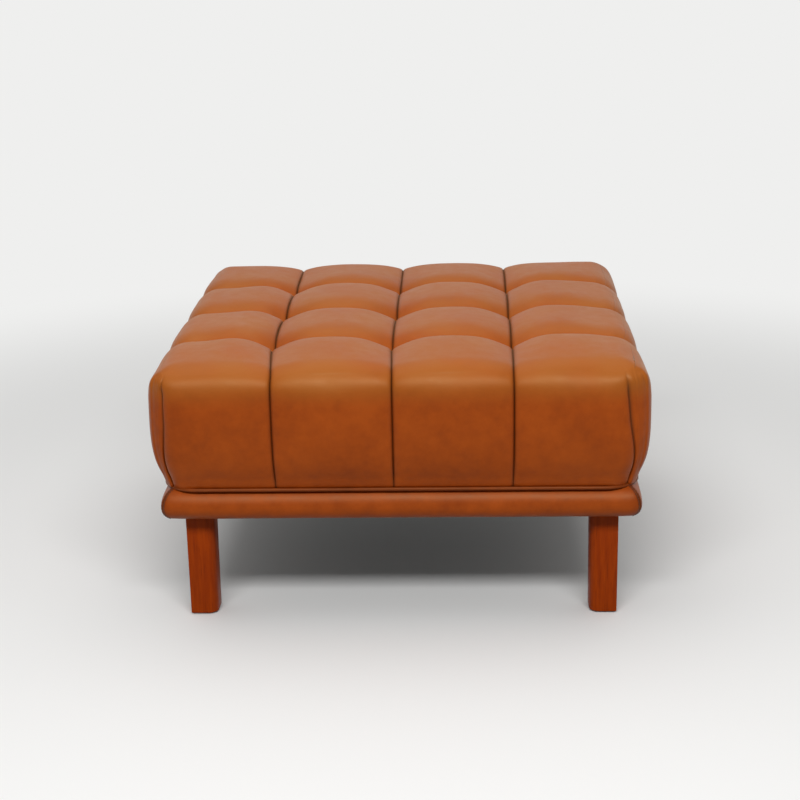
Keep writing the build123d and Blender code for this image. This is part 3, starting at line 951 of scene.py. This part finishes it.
# Legs. Square blocks of red-brown stained hardwood, tapered a little. The two edges beside the
# outer corner are rounded over on the router table and the others only eased with sandpaper.
leg_names = ["leg_front_left", "leg_front_right", "leg_back_right", "leg_back_left"]
leg_signs = [(-1, -1), (1, -1), (1, 1), (-1, 1)]
routed_radius, arris_ease = 0.018, 0.0014
routed_steps, eased_steps = 10, 3
foot_share = 49.5 / 51
bolt_low, bolt_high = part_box("hanger_bolts")
bore_radius, bore_ease, bore_sides = 0.0041, 0.0003, 24


def leg_outline(half):
    """Points round a leg's section, with the outer corner towards +X and +Y."""
    points = []
    for turn, radius in enumerate((arris_ease, routed_radius, arris_ease, routed_radius)):
        count = routed_steps if radius == routed_radius else eased_steps
        middle = half - radius
        quarter = math.pi / 2 * (turn + 0.5)
        for i in range(count + 1):
            angle = math.pi / 2 * (turn + i / count)
            x = math.copysign(middle, math.cos(quarter)) + radius * math.cos(angle)
            y = math.copysign(middle, math.sin(quarter)) + radius * math.sin(angle)
            points.append((x, y))
    return points


def block_leg(node, signs):
    """One leg as a closed block with the bolt's bore in its top, turned to its corner."""
    low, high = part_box(node)
    place, half = (low + high) / 2, (high.x - low.x) / 2
    rows = [(low.z, foot_share, arris_ease), (low.z + arris_ease, foot_share, 0), (high.z, 1, 0)]
    verts, faces = [], []
    for level, share, ease in rows:
        for x, y in leg_outline(half * share - ease):
            verts.append((place.x + signs[0] * x, place.y + signs[1] * y, level))
    count = len(verts) // len(rows)
    rim, bore = len(verts) - count, len(verts)
    for row in range(len(rows) - 1):
        here, above = row * count, (row + 1) * count
        for i in range(count):
            ahead = (i + 1) % count
            faces.append((here + i, here + ahead, above + ahead, above + i))
    faces.append(tuple(range(count)))
    for level in (high.z, bolt_low.z - bore_ease):
        for i in range(bore_sides):
            angle = 2 * math.pi * i / bore_sides
            out = Vector((math.cos(angle), math.sin(angle))) * bore_radius
            verts.append((place.x + out.x, place.y + out.y, level))
    for i in range(bore_sides):
        here, ahead = bore + i, bore + (i + 1) % bore_sides
        faces.append((here, ahead, ahead + bore_sides, here + bore_sides))
    faces.append(tuple(bore + bore_sides + i for i in range(bore_sides)))
    mesh = new_mesh(node.replace("leg", "stained_leg"), verts, faces)
    form = bmesh.new()
    form.from_mesh(mesh)
    form.verts.ensure_lookup_table()
    rims = [e for e in form.edges if e.is_boundary and all(v.index >= rim for v in e.verts)]
    bmesh.ops.bridge_loops(form, edges=rims)
    bmesh.ops.recalc_face_normals(form, faces=form.faces)
    form.to_mesh(mesh)
    form.free()
    mesh.polygons.foreach_set("use_smooth", [len(p.vertices) == 4 for p in mesh.polygons])
    mesh.set_sharp_from_angle(angle=math.radians(25))
    return new_piece(mesh.name, mesh)


def lacquered_hardwood(name, light, dark, pore):
    """Ring-porous hardwood, stained and lacquered: long streaks and fine dark pores up the leg."""
    material, tree, shader, place = blank_material(name, {
        "Roughness": 0.42, "Specular IOR Level": 0.12})
    stretched = add(tree, "ShaderNodeMapping", {"Vector": place, "Scale": (1.0, 1.0, 0.07)})
    streaks = add(tree, "ShaderNodeTexNoise", {
        "Vector": stretched.outputs["Vector"], "Scale": 130.0, "Detail": 6.0, "Roughness": 0.6,
        "Distortion": 0.4})
    shade = add(tree, "ShaderNodeValToRGB", {"Fac": streaks.outputs["Fac"]})
    shade.color_ramp.elements[0].position, shade.color_ramp.elements[0].color = 0.32, linear(dark)
    shade.color_ramp.elements[1].position, shade.color_ramp.elements[1].color = 0.68, linear(light)
    fine = add(tree, "ShaderNodeMapping", {"Vector": place, "Scale": (1.0, 1.0, 0.03)})
    pores = add(tree, "ShaderNodeTexNoise", {
        "Vector": fine.outputs["Vector"], "Scale": 900.0, "Detail": 2.0, "Roughness": 0.5})
    open_pores = add(tree, "ShaderNodeMapRange", {
        "Value": pores.outputs["Fac"], "From Min": 0.60, "From Max": 0.72, "To Min": 0.0,
        "To Max": 0.55}).outputs["Result"]
    add(tree, "ShaderNodeMix", {"Factor": open_pores, "A": shade.outputs["Color"], "B": linear(pore)},
        shader.inputs["Base Color"], data_type="RGBA")
    add(tree, "ShaderNodeBump", {"Height": open_pores, "Strength": 0.25, "Distance": 0.0003},
        shader.inputs["Normal"], invert=True)
    return material


leg_wood = lacquered_hardwood("stained_hardwood", "#AC4204", "#933303", "#521C03")
for name, signs in zip(leg_names, leg_signs):
    fitted(block_leg(name, signs), leg_wood, name)

# Fixings. Each leg turns on to a zinc-plated hanger bolt, a coarse wood thread in the leg and a
# machine thread in a tee nut on the corner block. A nylon glide is nailed under each leg.
bolt_radius = 0.004
wood_pitch, wood_depth, wood_sharpness = 0.003, 0.0010, 3.0
machine_pitch, machine_depth, machine_sharpness = 0.00125, 0.0007, 1.0
thread_sides, rows_per_turn = 20, 6
tip_length, tip_share, collar = 0.008, 0.25, 0.004


def hanger_bolt(place_x, place_y):
    """Points and faces of one bolt: wood thread and point below, collar, machine thread above."""
    middle = leg_high.z
    verts, faces = [], []
    rows = round((bolt_high.z - bolt_low.z) / (machine_pitch / rows_per_turn))
    for row in range(rows + 1):
        level = bolt_low.z + (bolt_high.z - bolt_low.z) * row / rows
        pitch, thread_depth, sharpness = machine_pitch, machine_depth, machine_sharpness
        if level < middle:
            pitch, thread_depth, sharpness = wood_pitch, wood_depth, wood_sharpness
        if abs(level - middle) < collar / 2:
            thread_depth = 0
        point = min(1.0, tip_share + (1 - tip_share) * (level - bolt_low.z) / tip_length)
        for side in range(thread_sides):
            turn = side / thread_sides
            phase = ((level - middle) / pitch - turn) % 1.0
            ridge = max(0.0, 1 - abs(2 * phase - 1) * sharpness)
            out = (bolt_radius - thread_depth * (1 - ridge)) * point
            angle = 2 * math.pi * turn
            verts.append((place_x + out * math.cos(angle), place_y + out * math.sin(angle), level))
            if row < rows:
                beside = (side + 1) % thread_sides
                low_row, high_row = row * thread_sides, (row + 1) * thread_sides
                faces.append((low_row + side, low_row + beside, high_row + beside, high_row + side))
    faces.append(tuple(range(thread_sides))[::-1])
    faces.append(tuple(rows * thread_sides + side for side in range(thread_sides)))
    return verts, faces


def make_bolts():
    """All four bolts in one mesh."""
    verts, faces = [], []
    for name in leg_names:
        low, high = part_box(name)
        own_verts, own_faces = hanger_bolt((low.x + high.x) / 2, (low.y + high.y) / 2)
        faces += [tuple(len(verts) + v for v in face) for face in own_faces]
        verts += own_verts
    return new_piece("threaded_bolts", new_mesh("threaded_bolts", verts, faces))


def moulded_nylon(name, light, dark):
    """Moulded nylon: dark brown, faintly mottled, with a dull waxy gloss that scuffs."""
    material, tree, shader, place, scuff = two_tone(
        name, light, dark, {"Scale": 400.0, "Detail": 5.0}, {"IOR": 1.53})
    add(tree, "ShaderNodeMapRange", {"Value": scuff, "To Min": 0.3, "To Max": 0.6},
        shader.inputs["Roughness"])
    return material


fitted(make_bolts(), zinc, "hanger_bolts")
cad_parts["tee_nuts"].material_slots[0].material = zinc
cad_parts["glides"].material_slots[0].material = moulded_nylon("moulded_nylon", "#4A3A2C", "#33281E")

# Camera, floor and light. A pale seamless floor and pale surroundings, a dim softbox overhead
# and a stronger strip light high up in front, as in a plain studio.
camera_place = Vector((0.1185, -3.286, 1.280))
camera_yaw, camera_pitch, camera_roll = (math.radians(a) for a in (2.30, 16.69, -1.16))
photo_focal_px, photo_width_px = 1700, 800
level_way = Vector((-math.sin(camera_yaw), math.cos(camera_yaw), 0))
level_right = Vector((math.cos(camera_yaw), math.sin(camera_yaw), 0))
straight_up = Vector((0, 0, 1))
look = level_way * math.cos(camera_pitch) - straight_up * math.sin(camera_pitch)
tilted_up = level_way * math.sin(camera_pitch) + straight_up * math.cos(camera_pitch)
rolled_right = level_right * math.cos(camera_roll) + tilted_up * math.sin(camera_roll)
rolled_up = tilted_up * math.cos(camera_roll) - level_right * math.sin(camera_roll)
camera = new_piece("camera", bpy.data.cameras.new("camera"))
camera.data.sensor_width = 36.0
camera.data.lens = photo_focal_px / photo_width_px * camera.data.sensor_width
aim = Matrix((rolled_right, rolled_up, -look)).transposed().to_4x4()
camera.matrix_world = Matrix.Translation(camera_place) @ aim
bpy.context.scene.camera = camera
bpy.context.scene.view_settings.view_transform = "Standard"

floor_half = 60
floor_fade_start, floor_fade_end = 1.0, 2.5
floor_corners = [(a * floor_half, b * floor_half, 0) for a, b in ((-1, -1), (1, -1), (1, 1), (-1, 1))]
floor = new_piece("floor", new_mesh("floor", floor_corners, [(0, 1, 2, 3)]))
floor_finish, floor_tree, floor_shader, floor_place = blank_material("white_seamless_floor", {
    "Roughness": 0.8, "Specular IOR Level": 0.2})
floor_ray = add(floor_tree, "ShaderNodeLightPath")
floor_in_mirror = add(floor_tree, "ShaderNodeMath", {
    0: floor_ray.outputs["Is Glossy Ray"], 1: floor_ray.outputs["Is Transmission Ray"]},
    operation="MAXIMUM")
floor_shown = add(floor_tree, "ShaderNodeMath", {
    0: floor_ray.outputs["Is Camera Ray"], 1: floor_in_mirror.outputs[0]}, operation="MAXIMUM")
add(floor_tree, "ShaderNodeMix", {
    "Factor": floor_shown.outputs[0], "A": linear("#8C877E"), "B": linear("#EDEDEC")},
    floor_shader.inputs["Base Color"], data_type="RGBA")
from_middle = add(floor_tree, "ShaderNodeVectorMath", {0: floor_place}, operation="LENGTH")
floor_fade = add(floor_tree, "ShaderNodeMapRange", {
    "Value": from_middle.outputs["Value"], "From Min": floor_fade_start, "From Max": floor_fade_end},
    interpolation_type="SMOOTHSTEP")
floor_seen = add(floor_tree, "ShaderNodeMath", {
    0: floor_fade.outputs["Result"], 1: floor_shown.outputs[0]}, operation="MULTIPLY")
floor_white = add(floor_tree, "ShaderNodeEmission", {"Color": linear("#EFEFEE"), "Strength": 1.0})
add(floor_tree, "ShaderNodeMixShader", {
    0: floor_seen.outputs[0], 1: floor_shader.outputs[0], 2: floor_white.outputs[0]},
    floor_tree.nodes["Material Output"].inputs["Surface"])
floor.data.materials.append(floor_finish)

# the wall behind and above is pale and lit, the studio on the camera's side is dimmer
ambient_level, dim_side = 0.62, 0.32
mirrored_ceiling, mirrored_back = 0.24, 0.9
world = bpy.data.worlds.new("studio")
bpy.context.scene.world = world
world.use_nodes = True
sky = world.node_tree
ray = add(sky, "ShaderNodeLightPath")
sky_way = add(sky, "ShaderNodeSeparateXYZ", {"Vector": add(sky, "ShaderNodeTexCoord").outputs["Generated"]})
wall_glow = add(sky, "ShaderNodeMapRange", {
    "Value": sky_way.outputs["Y"], "From Min": -0.6, "From Max": 0.4, "To Min": dim_side, "To Max": 1.0},
    interpolation_type="SMOOTHSTEP")
ambient = add(sky, "ShaderNodeMath", {
    0: wall_glow.outputs["Result"], 1: ambient_level}, operation="MULTIPLY")
mirrored_wall = add(sky, "ShaderNodeMapRange", {
    "Value": sky_way.outputs["Y"], "From Min": 0.55, "From Max": 0.92, "To Min": mirrored_ceiling,
    "To Max": mirrored_back}, interpolation_type="SMOOTHSTEP")
glow = add(sky, "ShaderNodeMix", {
    "Factor": ray.outputs["Is Glossy Ray"], "A": ambient.outputs[0], "B": mirrored_wall.outputs["Result"]})
seen = add(sky, "ShaderNodeMath", {
    0: ray.outputs["Is Camera Ray"], 1: ray.outputs["Is Transmission Ray"]}, operation="MAXIMUM")
strength = add(sky, "ShaderNodeMath", {0: glow.outputs[0], 1: seen.outputs[0]}, operation="MAXIMUM")
add(sky, "ShaderNodeBackground", {"Color": linear("#EFEFEE"), "Strength": strength.outputs[0]},
    sky.nodes["World Output"].inputs["Surface"])


def softbox(name, place, aim, width, depth, watts):
    """A rectangular soft light that points at a place."""
    lamp = bpy.data.lights.new(name, "AREA")
    lamp.shape = "RECTANGLE"
    lamp.size, lamp.size_y = width, depth
    lamp.energy = watts
    turned = (Vector(aim) - Vector(place)).to_track_quat("-Z", "Y").to_matrix().to_4x4()
    new_piece(name, lamp).matrix_world = Matrix.Translation(place) @ turned


softbox("overhead", (-0.3, 0.2, 3.0), (0, 0, 0.3), 3.2, 2.4, 24)
softbox("front_strip", (0.1, -3.1, 3.1), (0, 0, 0.35), 3.4, 0.8, 115)
